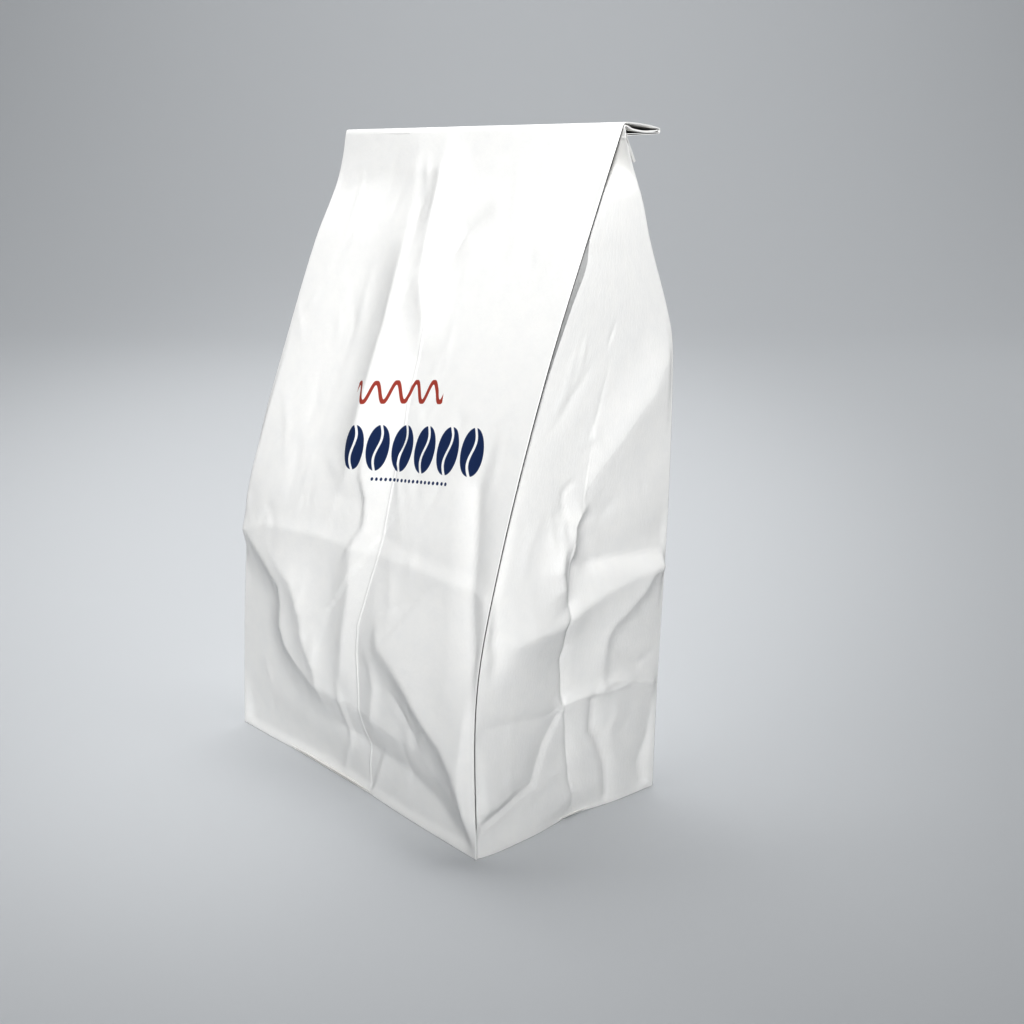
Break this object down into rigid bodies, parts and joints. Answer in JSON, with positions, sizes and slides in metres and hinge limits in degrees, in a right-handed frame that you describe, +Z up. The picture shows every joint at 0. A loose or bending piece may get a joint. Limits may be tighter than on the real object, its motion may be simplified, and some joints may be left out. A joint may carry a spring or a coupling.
{
  "type": "paper grocery bag",
  "caption": "Filled paper bag with side gussets and a flat block base, closed by folding its flattened top over to the back; holds dry goods such as coffee.",
  "frame": {"origin": "centre of the bounding box in plan, at the level of the base", "axes": "+Z up, -Y out of the broad printed front panel, +X to the right when the front panel is faced, out of the gusset with the deeper creases"},
  "size_m": [0.1112, 0.068, 0.1684],
  "materials": {
    "paper": "matte bleached kraft paper with soft creases"
  },
  "bodies": {
    "root": {"paper_bag": "paper"}
  },
  "joints": []
}
